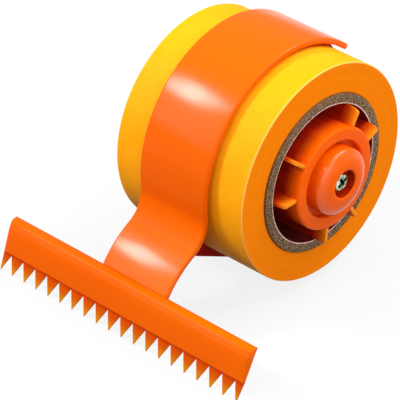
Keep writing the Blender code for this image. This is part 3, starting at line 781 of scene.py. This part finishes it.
def make_cap_skin(side, material):
    """A domed cap with a round hole down to the screw's seat, hollow behind."""
    bm = bmesh.new()
    base = BOSS_END + SEAT_GAP
    profile = [(base, CAP_SHANK_HOLE_RADIUS), (CAP_SEAT, CAP_SHANK_HOLE_RADIUS),
               (CAP_SEAT, CAP_HOLE_RADIUS - 0.3 * MM), (CAP_SEAT + 0.4 * MM, CAP_HOLE_RADIUS),
               (CAP_TOP - 0.7 * MM, CAP_HOLE_RADIUS), (CAP_TOP - 0.3 * MM, CAP_HOLE_RADIUS + 0.15 * MM),
               (CAP_TOP - 0.06 * MM, CAP_HOLE_RADIUS + 0.45 * MM)]
    for step in range(CAP_DOME_STEPS + 1):
        angle = math.pi / 2 * step / CAP_DOME_STEPS
        profile.append((CAP_SHOULDER + (CAP_TOP - CAP_SHOULDER) * math.cos(angle),
                        CAP_LIP_RADIUS + (CAP_RADIUS - CAP_LIP_RADIUS) * math.sin(angle)))
    inside, ceiling = CAP_RADIUS - CAP_WALL, CAP_SEAT - CAP_WALL
    profile += [(CAP_SKIRT, CAP_RADIUS), (CAP_SKIRT, inside), (ceiling, inside),
                (ceiling, CAP_SPIGOT_RADIUS), (base, CAP_SPIGOT_RADIUS)]
    add_turned(bm, profile, 128, SIDES[side])
    return finish_mesh("cap_skin_" + side, bm, material, 35.0)


def make_screw_skin(side, material):
    """Pan head with a cross recess, cut by a boolean and applied."""
    bm = bmesh.new()
    neck = SCREW_TOP - SCREW_HEAD_HEIGHT
    end = neck - SCREW_LENGTH
    start = math.radians(SCREW_DOME_START)
    profile = [(SCREW_TOP, 0)]
    for step in range(SCREW_DOME_STEPS + 1):
        angle = math.radians(SCREW_DOME_START + (90 - SCREW_DOME_START) * step / SCREW_DOME_STEPS)
        fall = SCREW_DOME_HEIGHT * (1 - math.cos(angle) / math.cos(start))
        profile.append((SCREW_TOP - fall, SCREW_HEAD_RADIUS - SCREW_DOME_ROUND * (1 - math.sin(angle))))
    profile += [(neck, SCREW_HEAD_RADIUS), (neck, SCREW_RADIUS), (end + SCREW_RADIUS, SCREW_RADIUS),
                (end, SCREW_POINT_RADIUS), (end, 0)]
    add_turned(bm, profile, 64, SIDES[side], closed=False)
    screw = finish_mesh("cap_screw_skin_" + side, bm, material, 30.0)

    cut = bmesh.new()
    for quarter in (0, math.pi / 2):
        corners = []
        for height, reach, half in CROSS_CUT:
            x, y, z = SCREW_TOP + height * MM, reach * MM, half * MM
            corners.append([(x, -y, -z), (x, y, -z), (x, y, z), (x, -y, z)])
        add_loft(cut, corners, SIDES[side] @ Matrix.Rotation(CROSS_ANGLE + quarter, 4, "X"))
    cutter = finish_mesh("cross_cut_" + side, cut, material)
    boolean = screw.modifiers.new("Cross", "BOOLEAN")
    boolean.operation, boolean.object, boolean.solver = "DIFFERENCE", cutter, "EXACT"
    boolean.use_self = True
    graph = bpy.context.evaluated_depsgraph_get()
    mesh = bpy.data.meshes.new_from_object(screw.evaluated_get(graph))
    screw.modifiers.clear()
    screw.data = mesh
    bpy.data.objects.remove(cutter, do_unlink=True)
    mesh.set_sharp_from_angle(angle=math.radians(30))
    return screw


def make_core_skin(side, material):
    bm = bmesh.new()
    profile = [(ROLL_INNER, CORE_BORE_RADIUS), (ROLL_OUTER, CORE_BORE_RADIUS),
               (ROLL_OUTER, CORE_OUTER_RADIUS), (ROLL_INNER, CORE_OUTER_RADIUS)]
    add_turned(bm, fillet(profile, CORE_EDGE_ROUND, 3), 192, SIDES[side])
    return finish_mesh("core_skin_" + side, bm, material)


def make_tape_skin(side, material):
    """A ring with rounded outer edges, its outer end in narrow rings."""
    bm = bmesh.new()
    bore = CORE_OUTER_RADIUS + SEAT_GAP
    profile = [(TAPE_INNER, bore)]
    profile += [(TAPE_OUTER, bore + (TAPE_RADIUS - bore) * index / TAPE_END_RINGS)
                for index in range(TAPE_END_RINGS)]
    corners = [(TAPE_OUTER, bore), (TAPE_OUTER, TAPE_RADIUS), (TAPE_INNER, TAPE_RADIUS), (TAPE_INNER, bore)]
    profile += [tuple(place) for place in fillet(corners, TAPE_EDGE_ROUND, 5, closed=False)[1:-1]]
    add_turned(bm, profile, 256, SIDES[side])
    return finish_mesh("tape_skin_" + side, bm, material)


# Every piece, on its body

orange = make_frame_orange()
orange_bar = make_bar_orange()
orange_hub = make_hub_orange("orange_plastic_hub", on_cap=False)
orange_cap = make_hub_orange("orange_plastic_cap", on_cap=True)
tape_paper = make_tape()
board = make_board()
zinc = make_zinc()
nylon = make_plain("nylon_natural", (0.74, 0.72, 0.66), (0.86, 0.84, 0.78), 0.45, 600.0)
felt = make_plain("felt_pressed", (0.012, 0.012, 0.012), (0.05, 0.05, 0.05), 0.93, 1500.0)


def dress(piece, body, node):
    """Show this piece in place of a node's solid, on its body."""
    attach(piece, body)
    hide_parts(node)


dress(make_frame_skin(orange), "frame", "frame")
dress(make_bar_skin(orange_bar), "frame", "cutter_bar")
for side in SIDES:
    roll = side + "_roll"
    dress(make_hub_skin(side, orange_hub), roll, "hub_" + side)
    dress(make_cap_skin(side, orange_cap), "frame", "cap_" + side)
    dress(make_screw_skin(side, zinc), "frame", "cap_screw_" + side)
    dress(make_core_skin(side, board), roll, "core_" + side)
    dress(make_tape_skin(side, tape_paper), roll, "tape_" + side)
    for node, material in (("bar_screw_", zinc), ("thrust_washer_", nylon), ("friction_washer_", felt)):
        for slot in bpy.data.objects[node + side].material_slots:
            slot.material = material


# Floor, lights and camera

def make_floor():
    """White for the camera and in reflections, and dim enough for the lamps to leave a shadow."""
    bm = bmesh.new()
    row_length = FLOOR_STEPS + 1
    places = [FLOOR_SIZE * (step / FLOOR_STEPS - 0.5) for step in range(row_length)]
    for x in places:
        for y in places:
            bm.verts.new((x, y, -FLOOR_DROP))
    bm.verts.ensure_lookup_table()
    for row in range(FLOOR_STEPS):
        for column in range(FLOOR_STEPS):
            a = row * row_length + column
            corners = (a, a + row_length, a + row_length + 1, a + 1)
            bm.faces.new([bm.verts[index] for index in corners])
    n = Nodes("floor_white")
    n.set(Base_Color=n.ramp(n.noise(3.0), (0.2, (0.095, 0.095, 0.095)), (0.8, (0.105, 0.105, 0.105))))
    n.set(Roughness=0.9, Specular_IOR_Level=0.0, Emission_Color=(1, 1, 1, 1))
    rays = n.add("ShaderNodeLightPath").outputs
    mirrored = n.math("ADD", rays["Is Glossy Ray"], rays["Is Transmission Ray"])
    seen = n.math("ADD", rays["Is Camera Ray"], mirrored, clamp=True)
    n.set(Emission_Strength=n.math("MULTIPLY", seen, FLOOR_GLOW))
    finish_mesh("floor", bm, n.material)


def area_light(name, direction, distance, size, energy):
    """A softbox that faces the axle from a direction."""
    light = bpy.data.lights.new(name, "AREA")
    light.shape = "RECTANGLE"
    light.size, light.size_y = size
    light.energy = energy
    item = bpy.data.objects.new(name, light)
    bpy.context.scene.collection.objects.link(item)
    away = Vector(direction).normalized()
    item.location = AXLE + away * distance
    item.rotation_mode = "QUATERNION"
    item.rotation_quaternion = away.to_track_quat("Z", "Y")


def strap_mirror(angle):
    """Direction that the strap mirrors to the camera, by its angle above the front, in degrees."""
    t = math.radians(angle)
    return Vector((MIRROR_SIDEWAYS, -MIRROR_AWAY * math.cos(t), MIRROR_AWAY * math.sin(t)))


make_floor()
area_light("key", strap_mirror(53.5) + Vector((-0.05, 0, 0)), 2.2, (0.43, 0.46), 34.0)
area_light("fill", strap_mirror(29), 1.4, (0.5, 0.55), 2.0)
area_light("top", (0.3, 0.5, 1.0), 1.7, (2.0, 1.4), 27.5)
area_light("crown", (0.25, 0.61, 0.75), 2.2, (0.26, 0.18), 10.0)
area_light("side", (0.95, -0.24, 0.35), 2.2, (2.2, 2.0), 28.0)
area_light("glint", (-0.10, -0.61, 0.78), 2.2, (0.30, 0.20), 9.0)

scene = bpy.context.scene
world = bpy.data.worlds.new("studio")
scene.world = world
world.use_nodes = True
background = world.node_tree.nodes["Background"]
background.inputs["Color"].default_value = (1, 1, 1, 1)
background.inputs["Strength"].default_value = WORLD_GLOW
scene.view_settings.view_transform = "Standard"

lens = bpy.data.cameras.new("camera")
lens.sensor_width = SENSOR_WIDTH
lens.lens = FOCAL_PIXELS * SENSOR_WIDTH / PICTURE_PIXELS
lens.clip_start, lens.clip_end = 0.05, 20.0
camera = bpy.data.objects.new("camera", lens)
scene.collection.objects.link(camera)
scene.camera = camera
camera.location = AXLE + CAMERA_OFFSET
toward = Vector((math.sin(AZIMUTH) * math.cos(ELEVATION), -math.cos(AZIMUTH) * math.cos(ELEVATION),
                 math.sin(ELEVATION)))
camera.rotation_mode = "QUATERNION"
camera.rotation_quaternion = toward.to_track_quat("Z", "Y")
